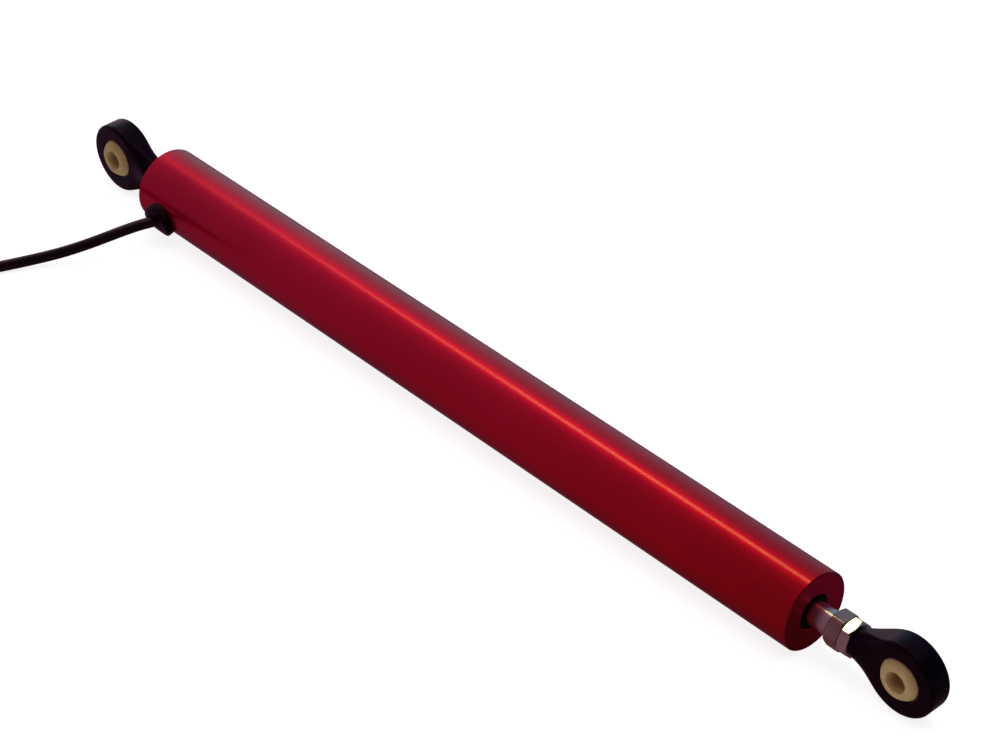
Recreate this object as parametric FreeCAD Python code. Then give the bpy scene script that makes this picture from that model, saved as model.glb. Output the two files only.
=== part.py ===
import FreeCAD, Part
import math
import os

# Slim linear position sensor: a tube with a sliding push rod, a rod eye with a
# swivelling ball at each end and a cable that leaves the tube's side.
#
# Sizes are in millimetres. Shapes are drawn with the tube's axis on X and the
# tube's rear face at x = 0, then moved so that the origin is under the middle
# of the object, on the surface that it lies on.

V = FreeCAD.Vector

# ---------------------------------------------------------------- dimensions
# tube
TUBE_L = 220.0            # length of the tube
TUBE_OD = 19.0
TUBE_ID = 17.0
RIM_BORE_D = 18.2         # seat of the end caps' flanges
RIM_BORE_L = 1.6
RIM_CHAMFER = 0.25

# end caps
CAP_INSET = 0.05          # cap faces lie this far inside the rim
REAR_PLUG_END = 5.1       # inner end of the rear cap's plug
REAR_HUB_D = 8.0          # hub that the thread's end needs
REAR_HUB_END = 7.0
FRONT_PLUG_START = 204.5  # inner end of the front cap
BOSS_D = 9.0              # rear boss that takes the rear eye
BOSS_END = -2.2
THREAD_D = 5.0            # M5 threads of eyes, nuts, boss and rod
REAR_THREAD_END = 6.2
O_RING_D = 1.5            # O-ring section
GROOVE_W = 2.0

# rod, bearing and wiper
ROD_D = 6.0
ROD_X0 = 61.5             # rod's inner end at rest
ROD_X1 = 229.4            # rod's outer end at rest
ROD_TAP_X0 = 221.9        # bottom of the rod's threaded hole
RUN_GAP = 0.03            # radial running clearance on the rod
BUSH_OD = 8.5
BUSH_X0, BUSH_X1 = 206.0, 216.4
WIPER_X1 = 219.5
HEX_AF = 8.0              # across flats of the rod's hex end and of the nuts
HEX_TURNED_D = 8.8        # its corners are turned down to this
HEX_X0 = 225.7
HEX_TURN = 34.3           # degrees, a flat's normal above the -Y direction
NUT_H = 2.7
NUT_TURN = 18.3           # degrees, a flat's normal above the -Y direction
NUT_CHAMFER_D = 7.6

# eyes (size 5)
EYE_HEAD_R = 9.0
EYE_T = 6.0               # thickness of the eye
EYE_NECK = 13.3           # ball centre to the neck's end
EYE_NECK_HALF = 3.4
EYE_EDGE_R = 0.8
EYE_SEAT_R = 5.60         # spherical seat
EYE_SEAT_HALF = 2.6       # the seat opens into a chamfer here
BALL_R = 5.555
BALL_W = 8.0
BALL_BORE_D = 5.0
BALL_BORE_CHAMFER = 0.3
FRONT_BALL_X = 245.4
REAR_BALL_X = -18.2
FRONT_STUD_X0 = 222.9
REAR_STUD_X1 = 5.3

# bobbin, windings and core
FORMER_X0, FORMER_X1 = 56.0, 198.0
FORMER_BORE_D = 9.0
FORMER_OD = 11.0
FLANGE_T = 2.5
INNER_FLANGE_T = 1.5
INNER_FLANGE_D = 14.4
WINDING_OD = 14.0
SHIELD_OD = 15.2
CORE_D = 8.2
CORE_X0, CORE_X1 = 63.1, 89.0
RING_T = 1.0
RING_D = 7.6
RING_GROOVE_D = 5.4
GUIDE_X0, GUIDE_X1 = 90.1, 96.1
GUIDE_OD = 8.92
GUIDE_ID = 6.08
STOP_ID = 6.8

# circuit board
BOARD_X0, BOARD_X1 = 17.0, 53.0
BOARD_W = 13.0
BOARD_T = 1.0
BOARD_Z = -3.0            # underside of the board
CARRIER_X0, CARRIER_X1 = 15.5, 54.5

# grommet and cable
GLAND_X = 8.5             # the grommet's place along the tube
GLAND_TURN = 16.0         # degrees, its axis below the -Y direction
GLAND_HOLE_D = 5.6
GLAND_D = 9.0             # flange that lies on the tube
GLAND_T = 1.87            # its thickness
GLAND_EDGE_R = 0.5
GLAND_LIP_D = 6.6
GLAND_LIP_END = 7.0       # inner end of the lip, from the tube's axis
CABLE_D = 2.8
CABLE_ROOT = (7.92, -11.06, -2.62)    # where the cable leaves the flange
CABLE_WAY = (-0.394, -0.918, -0.045)  # its direction in the grommet
CABLE_IN = 8.9            # from there back to the jacket's inner end
CABLE_SPLIT = 1.6         # and back to the start of the free cable
CRIMP_OUT, CRIMP_IN = 6.1, 7.9        # and back to the crimp ring's faces
CRIMP_D = 4.2
FLOOR = -TUBE_OD / 2.0    # the surface that the tube lies on

# the route of the free cable, from inside the grommet to the coil
ROUTE = [
    (8.550, -9.591, -2.548),
    (7.132, -12.896, -2.710),
    (5.63, -17.10, -3.12),
    (3.96, -22.29, -3.90),
    (1.80, -27.81, -4.97),
    (-1.10, -33.40, -6.20),
    (-4.80, -39.30, -7.33),
    (-8.35, -45.90, -7.93),
    (-12.45, -54.95, -8.10),
    (-15.02, -63.16, -7.60),
]
# the last stretch, from the coil to the jacket's end
TAIL = [
    (-51.09, -57.68, -4.75),
    (-51.21, -53.22, -5.17),
    (-51.71, -49.02, -6.34),
    (-52.61, -45.02, -7.62),
    (-53.76, -41.42, -8.10),
]
COIL_C = (-32.49, -57.72)  # centre of the coil
COIL_R_IN, COIL_R_OUT = 10.9, 20.1
COIL_LIFT = 0.5            # the tie's strap lies under the coil
COIL_H = 5.7
TIE_T = 0.5
TIE_W = 3.0
TIE_ANGLE = -125.0
CORE_WIRE_D = 0.9
TIP_D = 0.6
TIP_L = 4.0

# the object's middle, in the drawing's coordinates
MID_X = (FRONT_BALL_X + EYE_HEAD_R + REAR_BALL_X - EYE_HEAD_R) / 2.0
LIFT = TUBE_OD / 2.0

os.makedirs("parts", exist_ok=True)


# ------------------------------------------------------------------- helpers
def place(shape):
    s = shape.copy()
    s.translate(V(-MID_X, 0, LIFT))
    return s


def save(name, shape):
    s = place(shape)
    if not s.isValid():
        print("not valid:", name)
    print("%-24s solids %d  volume %9.2f mm3" % (name, len(s.Solids), s.Volume))
    s.exportStep("parts/%s.step" % name)


def clean(shape):
    return shape.removeSplitter()


def cyl(x0, x1, d):
    return Part.makeCylinder(d / 2.0, x1 - x0, V(x0, 0, 0), V(1, 0, 0))


def ring(x0, x1, od, idia):
    return cyl(x0, x1, od).cut(cyl(x0 - 1, x1 + 1, idia))


def turned(points):
    """Solid of revolution about X from (x, radius) points."""
    pts = [V(x, 0, r) for x, r in points]
    face = Part.Face(Part.makePolygon(pts + [pts[0]]))
    return face.revolve(V(0, 0, 0), V(1, 0, 0), 360)


def box(x0, x1, y0, y1, z0, z1):
    return Part.makeBox(x1 - x0, y1 - y0, z1 - z0, V(x0, y0, z0))


def hex_prism(x0, x1, af, turn):
    """Hexagonal bar along X, one flat's normal turned up from -Y."""
    r = af / math.sqrt(3.0)
    pts = []
    for k in range(6):
        a = math.radians(180.0 - turn + 30.0 + 60.0 * k)
        pts.append(V(x0, r * math.cos(a), r * math.sin(a)))
    face = Part.Face(Part.makePolygon(pts + [pts[0]]))
    return face.extrude(V(x1 - x0, 0, 0))


def torus(x, r_mid, d):
    return Part.makeTorus(r_mid, d / 2.0, V(x, 0, 0), V(1, 0, 0))


def path_of(points, name, d):
    """Straight runs joined by tangent arcs, each arc as large as its runs allow."""
    p = [V(*q) for q in points]
    edges = []
    start = p[0]
    radii = []
    length = 0.0
    for i in range(1, len(p) - 1):
        a = p[i] - p[i - 1]
        b = p[i + 1] - p[i]
        la, lb = a.Length, b.Length
        ua, ub = V(a).normalize(), V(b).normalize()
        turn = math.acos(max(-1.0, min(1.0, ua.dot(ub))))
        back = 0.45 * min(la, lb)
        radius = back / math.tan(turn / 2.0)
        radii.append(radius)
        t0 = p[i] - ua * back
        t1 = p[i] + ub * back
        inward = (ub - ua).normalize()
        centre = p[i] + inward * (radius / math.cos(turn / 2.0))
        mid = centre - inward * radius
        edges.append(Part.LineSegment(start, t0).toShape())
        edges.append(Part.Arc(t0, mid, t1).toShape())
        length += (t0 - start).Length + radius * turn
        start = t1
    edges.append(Part.LineSegment(start, p[-1]).toShape())
    length += (p[-1] - start).Length
    wire = Part.Wire(edges)
    print("%-16s arc radii (mm): %s" % (name, ", ".join("%.1f" % r for r in radii)))
    print("%-16s least radius %.1f diameters, length %.1f mm" % (name, min(radii) / d, length))
    return wire, length


def tube_along(points, d, name):
    wire, length = path_of(points, name, d)
    p0, p1 = V(*points[0]), V(*points[1])
    circle = Part.Wire(Part.makeCircle(d / 2.0, p0, (p1 - p0).normalize()))
    solid = wire.makePipeShell([circle], True, False)
    if not solid.Solids:
        solid = Part.Solid(solid)
    expected = math.pi * d * d / 4.0 * length
    print("%-16s volume %.2f of section x length %.2f" % (name, solid.Volume, expected))
    return solid


# --------------------------------------------------------------------- tube
tube = turned([
    (RIM_CHAMFER, TUBE_OD / 2), (TUBE_L - RIM_CHAMFER, TUBE_OD / 2),
    (TUBE_L, TUBE_OD / 2 - RIM_CHAMFER), (TUBE_L, RIM_BORE_D / 2),
    (TUBE_L - RIM_BORE_L, RIM_BORE_D / 2), (TUBE_L - RIM_BORE_L, TUBE_ID / 2),
    (RIM_BORE_L, TUBE_ID / 2), (RIM_BORE_L, RIM_BORE_D / 2),
    (0, RIM_BORE_D / 2), (0, TUBE_OD / 2 - RIM_CHAMFER)])
GLAND_WAY = V(0, -math.cos(math.radians(GLAND_TURN)), -math.sin(math.radians(GLAND_TURN)))
GLAND_C = V(GLAND_X, 0, 0)
gland_hole = Part.makeCylinder(GLAND_HOLE_D / 2, 12, GLAND_C, GLAND_WAY)
save("body_tube", tube.cut(gland_hole))

# ----------------------------------------------------------------- end caps
PLUG_R = TUBE_ID / 2
GROOVE_R = PLUG_R - O_RING_D
REAR_GROOVE = 2.3
FRONT_GROOVE = 211.0
rear_cap = turned([
    (BOSS_END, 0), (BOSS_END, BOSS_D / 2 - 0.3), (BOSS_END + 0.3, BOSS_D / 2),
    (CAP_INSET, BOSS_D / 2), (CAP_INSET, RIM_BORE_D / 2 - 0.15),
    (CAP_INSET + 0.15, RIM_BORE_D / 2), (RIM_BORE_L, RIM_BORE_D / 2),
    (RIM_BORE_L, PLUG_R), (REAR_GROOVE, PLUG_R), (REAR_GROOVE, GROOVE_R),
    (REAR_GROOVE + GROOVE_W, GROOVE_R), (REAR_GROOVE + GROOVE_W, PLUG_R),
    (REAR_PLUG_END, PLUG_R), (REAR_PLUG_END, REAR_HUB_D / 2),
    (REAR_HUB_END, REAR_HUB_D / 2), (REAR_HUB_END, 0)])
save("rear_end_cap", rear_cap.cut(cyl(BOSS_END - 1, REAR_THREAD_END, THREAD_D)))
save("rear_cap_o_ring", torus(REAR_GROOVE + GROOVE_W / 2, PLUG_R - O_RING_D / 2, O_RING_D))

FACE = TUBE_L - CAP_INSET
front_cap = turned([
    (FRONT_PLUG_START, ROD_D / 2 + 0.5), (FRONT_PLUG_START, PLUG_R),
    (FRONT_GROOVE, PLUG_R), (FRONT_GROOVE, GROOVE_R),
    (FRONT_GROOVE + GROOVE_W, GROOVE_R), (FRONT_GROOVE + GROOVE_W, PLUG_R),
    (TUBE_L - RIM_BORE_L, PLUG_R), (TUBE_L - RIM_BORE_L, RIM_BORE_D / 2),
    (FACE - 0.15, RIM_BORE_D / 2), (FACE, RIM_BORE_D / 2 - 0.15),
    (FACE, BUSH_OD / 2 + 0.15), (FACE - 0.15, BUSH_OD / 2),
    (BUSH_X0, BUSH_OD / 2), (BUSH_X0, ROD_D / 2 + 0.5)])
save("front_end_cap", front_cap)
save("front_cap_o_ring", torus(FRONT_GROOVE + GROOVE_W / 2, PLUG_R - O_RING_D / 2, O_RING_D))

# bearing bush and wiper of the rod
RUN_R = ROD_D / 2 + RUN_GAP
save("front_bush", turned([
    (BUSH_X0, RUN_R + 0.3), (BUSH_X0, BUSH_OD / 2), (BUSH_X1, BUSH_OD / 2),
    (BUSH_X1, RUN_R + 0.3), (BUSH_X1 - 0.3, RUN_R), (BUSH_X0 + 0.3, RUN_R)]))
save("rod_wiper", turned([
    (BUSH_X1, RUN_R + 0.5), (BUSH_X1, BUSH_OD / 2), (WIPER_X1 - 0.2, BUSH_OD / 2),
    (WIPER_X1, BUSH_OD / 2 - 0.2), (WIPER_X1, RUN_R + 0.35),
    (WIPER_X1 - 0.35, RUN_R), (WIPER_X1 - 1.3, RUN_R), (WIPER_X1 - 1.6, RUN_R + 0.5)]))

# ------------------------------------------------------ bobbin and windings
bays = FORMER_X1 - FORMER_X0 - 2 * FLANGE_T - 2 * INNER_FLANGE_T
BAY = bays / 3.0
B0 = FORMER_X0 + FLANGE_T
B1 = B0 + BAY
B2 = B1 + INNER_FLANGE_T
B3 = B2 + BAY
B4 = B3 + INNER_FLANGE_T
B5 = B4 + BAY
fo, fi = FORMER_OD / 2, INNER_FLANGE_D / 2
former = turned([
    (FORMER_X0, FORMER_BORE_D / 2), (FORMER_X0, PLUG_R), (B0, PLUG_R), (B0, fo),
    (B1, fo), (B1, fi), (B2, fi), (B2, fo), (B3, fo), (B3, fi), (B4, fi), (B4, fo),
    (B5, fo), (B5, PLUG_R), (FORMER_X1, PLUG_R), (FORMER_X1, FORMER_BORE_D / 2)])
# slot that lets the winding wires through the rear flange
former = former.cut(box(FORMER_X0 - 1, B0 + 0.2, -2.5, 2.5, 5.7, 7.0))
save("coil_former", former)
save("rear_secondary_winding", ring(B0, B1, WINDING_OD, FORMER_OD))
save("primary_winding", ring(B2, B3, WINDING_OD, FORMER_OD))
save("front_secondary_winding", ring(B4, B5, WINDING_OD, FORMER_OD))
save("shield_tube", ring(B0, B5, SHIELD_OD, INNER_FLANGE_D))
save("rear_stop_disc", cyl(FORMER_X0, B0, FORMER_BORE_D))
save("front_stop_ring", ring(FORMER_X1, FRONT_PLUG_START, TUBE_ID, STOP_ID))

# -------------------------------------------------------------------- rod
rod = turned([
    (ROD_X0, 0), (ROD_X0, ROD_D / 2 - 0.3), (ROD_X0 + 0.3, ROD_D / 2),
    (ROD_X1, ROD_D / 2), (ROD_X1, THREAD_D / 2), (ROD_TAP_X0, THREAD_D / 2),
    (ROD_TAP_X0 - 1.2, 0)])
ring_starts = [CORE_X0 - 0.1 - RING_T, CORE_X1, GUIDE_X1 + 0.1]
for x in ring_starts:
    rod = rod.cut(ring(x, x + RING_T, ROD_D + 2, RING_GROOVE_D))
save("push_rod", rod)
save("core_retaining_rings", Part.makeCompound(
    [ring(x, x + RING_T, RING_D, RING_GROOVE_D) for x in ring_starts]))
save("armature_core", ring(CORE_X0, CORE_X1, CORE_D, ROD_D))
save("guide_ring", turned([
    (GUIDE_X0, GUIDE_ID / 2), (GUIDE_X0, GUIDE_OD / 2 - 0.4), (GUIDE_X0 + 0.4, GUIDE_OD / 2),
    (GUIDE_X1 - 0.4, GUIDE_OD / 2), (GUIDE_X1, GUIDE_OD / 2 - 0.4), (GUIDE_X1, GUIDE_ID / 2)]))

# hex end on the rod: corners turned down, chamfered where the spanner goes on
hex_end = hex_prism(HEX_X0, ROD_X1, HEX_AF, HEX_TURN).common(turned([
    (HEX_X0, 0), (HEX_X0, 3.75), (HEX_X0 + 0.45, HEX_TURNED_D / 2),
    (ROD_X1 - 0.25, HEX_TURNED_D / 2), (ROD_X1, HEX_TURNED_D / 2 - 0.25), (ROD_X1, 0)]))
save("rod_end_hex", hex_end.cut(cyl(HEX_X0 - 1, ROD_X1 + 1, ROD_D)))


def lock_nut(x0):
    x1 = x0 + NUT_H
    rc = NUT_CHAMFER_D / 2
    corner = HEX_AF / math.sqrt(3.0) + 0.2
    depth = (corner - rc) * math.tan(math.radians(30))
    solid = hex_prism(x0, x1, HEX_AF, NUT_TURN).common(turned([
        (x0, 0), (x0, rc), (x0 + depth, corner), (x1 - depth, corner), (x1, rc), (x1, 0)]))
    return solid.cut(cyl(x0 - 1, x1 + 1, THREAD_D))


save("front_lock_nut", lock_nut(ROD_X1))
save("rear_lock_nut", lock_nut(BOSS_END - NUT_H))


# ------------------------------------------------------------------- eyes
def eye(ball_x, way, stud_end):
    """Rod eye: its neck points along -way, its bore along Y."""
    h = EYE_NECK_HALF
    far = math.hypot(EYE_NECK, h)
    lean = math.asin(EYE_HEAD_R / far) - math.atan2(h, EYE_NECK)
    tx, tz = -EYE_HEAD_R * math.sin(lean), EYE_HEAD_R * math.cos(lean)
    y = -EYE_T / 2
    a, b = V(-EYE_NECK, y, -h), V(-EYE_NECK, y, h)
    c, d = V(tx, y, tz), V(tx, y, -tz)
    outline = Part.Wire([
        Part.LineSegment(a, b).toShape(), Part.LineSegment(b, c).toShape(),
        Part.Arc(c, V(EYE_HEAD_R, y, 0), d).toShape(), Part.LineSegment(d, a).toShape()])
    body = Part.Face(outline).extrude(V(0, EYE_T, 0))
    rims = [e for e in body.Edges
            if abs(abs(e.CenterOfMass.y) - EYE_T / 2) < 1e-6 and e.BoundBox.XMax > -EYE_NECK + 1e-6]
    body = body.makeFillet(EYE_EDGE_R, rims)
    # the neck is rounded off towards the nut
    body = body.common(turned([
        (-EYE_NECK, 0), (-EYE_NECK, 3.55), (-EYE_NECK + 0.35, 3.85), (-EYE_NECK + 7.5, 9.6),
        (12, 9.6), (12, 0)]))
    body = body.cut(Part.makeSphere(EYE_SEAT_R, V(0, 0, 0)))
    r0 = math.sqrt(EYE_SEAT_R ** 2 - EYE_SEAT_HALF ** 2)
    depth = EYE_T / 2 - EYE_SEAT_HALF
    for s in (1, -1):
        body = body.cut(Part.makeCone(r0, r0 + depth + 0.2, depth + 0.2,
                                      V(0, s * EYE_SEAT_HALF, 0), V(0, s, 0)))
    stud_len = abs(stud_end - ball_x) - EYE_NECK
    stud = turned([(-EYE_NECK - stud_len, 0), (-EYE_NECK - stud_len, THREAD_D / 2 - 0.4),
                   (-EYE_NECK - stud_len + 0.4, THREAD_D / 2), (-EYE_NECK + 0.5, THREAD_D / 2),
                   (-EYE_NECK + 0.5, 0)])
    body = clean(body.fuse(stud))
    if way < 0:
        body.rotate(V(0, 0, 0), V(0, 0, 1), 180)
    body.translate(V(ball_x, 0, 0))
    return body


def ball(ball_x):
    s = Part.makeSphere(BALL_R, V(0, 0, 0))
    s = s.common(box(-9, 9, -BALL_W / 2, BALL_W / 2, -9, 9))
    r, c, w = BALL_BORE_D / 2, BALL_BORE_CHAMFER, BALL_W / 2
    s = s.cut(Part.makeCylinder(r, 20, V(0, -10, 0), V(0, 1, 0)))
    for k in (1, -1):
        s = s.cut(Part.makeCone(r, r + c, c, V(0, k * (w - c), 0), V(0, k, 0)))
    # the seam of the sphere lies inside the eye
    s.translate(V(ball_x, 0, 0))
    return s


save("front_rod_eye", eye(FRONT_BALL_X, 1, FRONT_STUD_X0))
save("rear_rod_eye", eye(REAR_BALL_X, -1, REAR_STUD_X1))
save("front_eye_ball", ball(FRONT_BALL_X))
save("rear_eye_ball", ball(REAR_BALL_X))

# ---------------------------------------------------------- circuit board
carrier = cyl(CARRIER_X0, CARRIER_X1, TUBE_ID).common(
    box(CARRIER_X0, CARRIER_X1, -9, 9, -9, BOARD_Z))
for x in (17.5, 29.5, 41.5):
    carrier = carrier.cut(box(x, x + 10.5, -4.5, 4.5, -6.2, BOARD_Z + 1))
save("board_carrier", carrier)
TOP = BOARD_Z + BOARD_T
board = box(BOARD_X0, BOARD_X1, -BOARD_W / 2, BOARD_W / 2, BOARD_Z, TOP)
save("circuit_board", board)
chip = box(30, 37, -2.5, 2.5, TOP + 0.2, TOP + 1.7)
for k in range(4):
    for s in (-1, 1):
        x = 30.8 + 1.6 * k
        y0, y1 = (2.5, 3.6) if s > 0 else (-3.6, -2.5)
        chip = chip.fuse(box(x, x + 0.6, y0, y1, TOP, TOP + 0.6))
save("signal_chip", clean(chip))
save("board_capacitors", Part.makeCompound([
    box(22.5, 25.7, 2.2, 3.8, TOP, TOP + 1.2),
    box(22.5, 25.7, -3.8, -2.2, TOP, TOP + 1.2),
    box(41.5, 44.7, 2.2, 3.8, TOP, TOP + 1.2),
    box(41.5, 44.7, -3.8, -2.2, TOP, TOP + 1.2)]))
CABLE_PADS = [(18.6, -3.0), (18.6, 0.0), (18.6, 3.0)]
COIL_PADS = [(51.2, -2.25), (51.2, -0.75), (51.2, 0.75), (51.2, 2.25)]
save("board_terminals", Part.makeCompound(
    [Part.makeCylinder(0.7, 0.8, V(x, y, TOP)) for x, y in CABLE_PADS] +
    [Part.makeCylinder(0.6, 0.8, V(x, y, TOP)) for x, y in COIL_PADS]))

# winding wires from the bobbin's slot down to the board
coil_leads = []
for k, (x, y) in enumerate(COIL_PADS):
    ys = -1.8 + 1.2 * k
    coil_leads.append(tube_along(
        [(B0 - 0.3, ys, 6.3), (55.2, ys, 6.3), (52.6, (ys + y) / 2, 4.7),
         (x, y, 2.0), (x, y, TOP + 0.8)], 0.4, "coil lead %d" % (k + 1)))
save("coil_leads", Part.makeCompound(coil_leads))

# ----------------------------------------------------- grommet and cable end
# a flange that follows the tube, a neck through the hole and a lip behind it
flange = Part.makeCylinder(GLAND_D / 2, 14, GLAND_C, GLAND_WAY).common(
    cyl(GLAND_X - 10, GLAND_X + 10, TUBE_OD + 2 * GLAND_T))
rim = [e for e in flange.Edges if e.BoundBox.XMax - e.BoundBox.XMin > 1.0 and
       (e.CenterOfMass - GLAND_C).dot(GLAND_WAY) > TUBE_OD / 2]
flange = flange.makeFillet(GLAND_EDGE_R, rim)
flange = flange.cut(cyl(GLAND_X - 10, GLAND_X + 10, TUBE_OD))
neck_foot = GLAND_C + GLAND_WAY * GLAND_LIP_END
neck = Part.makeCylinder(GLAND_HOLE_D / 2, 10.4 - GLAND_LIP_END, neck_foot, GLAND_WAY)
lip = Part.makeCylinder(GLAND_LIP_D / 2, 10 - GLAND_LIP_END, neck_foot, GLAND_WAY)
lip = lip.common(cyl(GLAND_X - 10, GLAND_X + 10, TUBE_ID))
grommet = clean(flange.fuse(neck).fuse(lip))

ROOT = V(*CABLE_ROOT)
WAY = V(*CABLE_WAY).normalize()


def along_cable(back0, back1, d):
    """Round bar on the cable's line, between two distances back from its root."""
    return Part.makeCylinder(d / 2.0, back0 - back1, ROOT - WAY * back0, WAY)


cable_line = along_cable(14, -6, CABLE_D)
save("cable_grommet", grommet.cut(cable_line))
save("inner_cable_end", along_cable(CABLE_IN, CABLE_SPLIT, CABLE_D))
save("cable_crimp", along_cable(CRIMP_IN, CRIMP_OUT, CRIMP_D).cut(cable_line))

# cable cores from the jacket's inner end to the board
jacket_end = ROOT - WAY * CABLE_IN
across = V(-WAY.y, WAY.x, 0).normalize()
upward = WAY.cross(across)
if upward.z < 0:
    upward = upward * -1
inner = []
for k, (x, y) in enumerate(CABLE_PADS):
    a = math.radians(90 + 120 * k)
    s = jacket_end + across * (0.6 * math.cos(a)) + upward * (0.6 * math.sin(a))
    m1 = s - WAY * 1.6
    m2 = (13.3 - 0.1 * k, -0.5 + 0.5 * k, -1.2 + 0.2 * k)
    m3 = (15.0 - 0.2 * k, -1.3 + 1.3 * k, 0.1 + 0.25 * k)
    m4 = (16.9 - 0.1 * k, y * 0.82, 1.3 + 0.1 * k)
    m5 = (x, y, 0.6 + 0.05 * k)
    inner.append(tube_along([(s.x, s.y, s.z), (m1.x, m1.y, m1.z), m2, m3, m4, m5, (x, y, TOP + 0.8)],
                            CORE_WIRE_D, "inner core %d" % (k + 1)))
save("inner_cable_cores", Part.makeCompound(inner))

# ------------------------------------------------------------- free cable
save("cable", tube_along(ROUTE, CABLE_D, "cable"))
save("cable_tail", tube_along(TAIL, CABLE_D, "cable tail"))
coil = Part.makeCylinder(COIL_R_OUT, COIL_H, V(COIL_C[0], COIL_C[1], FLOOR + COIL_LIFT)).cut(
    Part.makeCylinder(COIL_R_IN, COIL_H + 2, V(COIL_C[0], COIL_C[1], FLOOR + COIL_LIFT - 1)))
coil = coil.makeFillet(1.2, [e for e in coil.Edges if e.Curve.TypeId == "Part::GeomCircle"])
save("cable_coil", coil)

# the tie: a strap around the turns, with its lock on top
strap = box(COIL_R_IN - TIE_T, COIL_R_OUT + TIE_T, -TIE_W / 2, TIE_W / 2,
            FLOOR, FLOOR + COIL_LIFT + COIL_H + TIE_T)
strap = strap.makeFillet(0.9, [e for e in strap.Edges if abs(e.BoundBox.YMax - e.BoundBox.YMin - TIE_W) < 1e-6])
lock = box(13.0, 17.2, -2.2, 2.2, FLOOR + COIL_LIFT + COIL_H, FLOOR + COIL_LIFT + COIL_H + 2.6)
lock = lock.makeFillet(0.5, [e for e in lock.Edges if e.BoundBox.ZMax > FLOOR + COIL_LIFT + COIL_H + 2.5])
tie = clean(strap.fuse(lock))
tie.rotate(V(0, 0, 0), V(0, 0, 1), TIE_ANGLE)
tie.translate(V(COIL_C[0], COIL_C[1], 0))
save("cable_tie", tie.cut(coil))

# flying leads at the cable's end: insulated cores with tinned tips
end = V(*TAIL[-1])
out = (end - V(*TAIL[-2])).normalize()
way = V(out.x, out.y, 0).normalize()
side = V(way.y, -way.x, 0)
up = side.cross(out)
LOW = FLOOR + CORE_WIRE_D / 2
# place in the jacket's end face (across, up), length of the first run, then
# points along the floor (along, across, height)
leads = {
    "lead_core_white": ((0.0, 0.6), 2.8, [(6.4, 0.35, -8.75), (10.0, 1.0, LOW), (13.5, 1.1, LOW)]),
    "lead_core_blue": ((-0.52, -0.28), 2.4, [(5.6, -1.3, LOW), (9.2, -3.3, LOW), (12.5, -5.6, LOW)]),
    "lead_core_red": ((0.52, -0.28), 2.3, [(5.4, 1.5, LOW), (9.0, 3.6, LOW), (12.6, 5.3, LOW)]),
}
tips = []
for name, (seat, first, pts) in leads.items():
    s0 = end + side * seat[0] + up * seat[1]
    s1 = s0 + out * first
    route = [(s0.x, s0.y, s0.z), (s1.x, s1.y, s1.z)]
    for along, across, z in pts:
        q = end + way * along + side * across
        route.append((q.x, q.y, z))
    save(name, tube_along(route, CORE_WIRE_D, name))
    last = (V(*route[-1]) - V(*route[-2])).normalize()
    tips.append(Part.makeCylinder(TIP_D / 2, TIP_L, V(*route[-1]), last))
save("lead_tips", Part.makeCompound(tips))
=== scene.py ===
import math

import bmesh
import bpy
from mathutils import Matrix, Vector


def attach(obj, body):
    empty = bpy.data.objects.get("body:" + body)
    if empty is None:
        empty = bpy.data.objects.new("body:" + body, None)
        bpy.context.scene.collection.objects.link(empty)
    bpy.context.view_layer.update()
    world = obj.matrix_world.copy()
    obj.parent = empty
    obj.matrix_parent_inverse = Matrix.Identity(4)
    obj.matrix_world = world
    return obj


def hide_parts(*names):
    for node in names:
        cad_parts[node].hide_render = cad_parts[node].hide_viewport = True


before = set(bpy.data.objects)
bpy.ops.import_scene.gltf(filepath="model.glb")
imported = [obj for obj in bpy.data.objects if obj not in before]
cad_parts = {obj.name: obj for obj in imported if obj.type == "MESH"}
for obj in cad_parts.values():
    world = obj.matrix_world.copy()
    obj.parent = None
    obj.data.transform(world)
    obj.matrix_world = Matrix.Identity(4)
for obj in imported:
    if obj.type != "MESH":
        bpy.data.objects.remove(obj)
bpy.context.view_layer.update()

# Slim linear position sensor. Lengths below are in millimetres unless a name
# says otherwise; MM turns them into metres. The tube's axis lies along X at the
# height AXIS_Z, and REAR is the tube's rear face.
MM = 0.001
REAR = -113.6
AXIS_Z = 9.5
scene = bpy.context.scene
scene.view_settings.view_transform = "Standard"


# ------------------------------------------------------------------- camera
cam_data = bpy.data.cameras.new("camera")
cam_data.sensor_fit = "HORIZONTAL"
cam_data.sensor_width = 36.0
cam_data.lens = 102.0
cam_data.clip_start = 0.01
cam_data.clip_end = 50.0
cam = bpy.data.objects.new("camera", cam_data)
scene.collection.objects.link(cam)
cam.matrix_world = Matrix((
    (0.680350, -0.444894, 0.582403, 0.383408),
    (0.732887, 0.413001, -0.540653, -0.346652),
    (0.0, 0.794669, 0.607042, 0.408115),
    (0.0, 0.0, 0.0, 1.0)))
scene.camera = cam


# -------------------------------------------------------------------- cable
# From the grommet down to the floor, into a tied coil and out to the stripped
# end. The coil is two layers: inwards below, outwards above.
LEAD = [
    (-105.050, -9.591, 6.952), (-106.468, -12.896, 6.790), (-107.97, -17.10, 6.38),
    (-109.64, -22.29, 5.60), (-111.80, -27.81, 4.53), (-114.70, -33.40, 3.30),
    (-118.40, -39.30, 2.17), (-121.95, -45.90, 1.57), (-126.05, -54.95, 1.40),
    (-128.62, -63.16, 1.90)]
TAIL = [
    (-164.69, -57.68, 4.75), (-164.81, -53.22, 4.33), (-165.31, -49.02, 3.16),
    (-166.21, -45.02, 1.88), (-167.36, -41.42, 1.40)]
COIL_C = (-146.09, -57.72)
CABLE_D = 2.8


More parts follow.
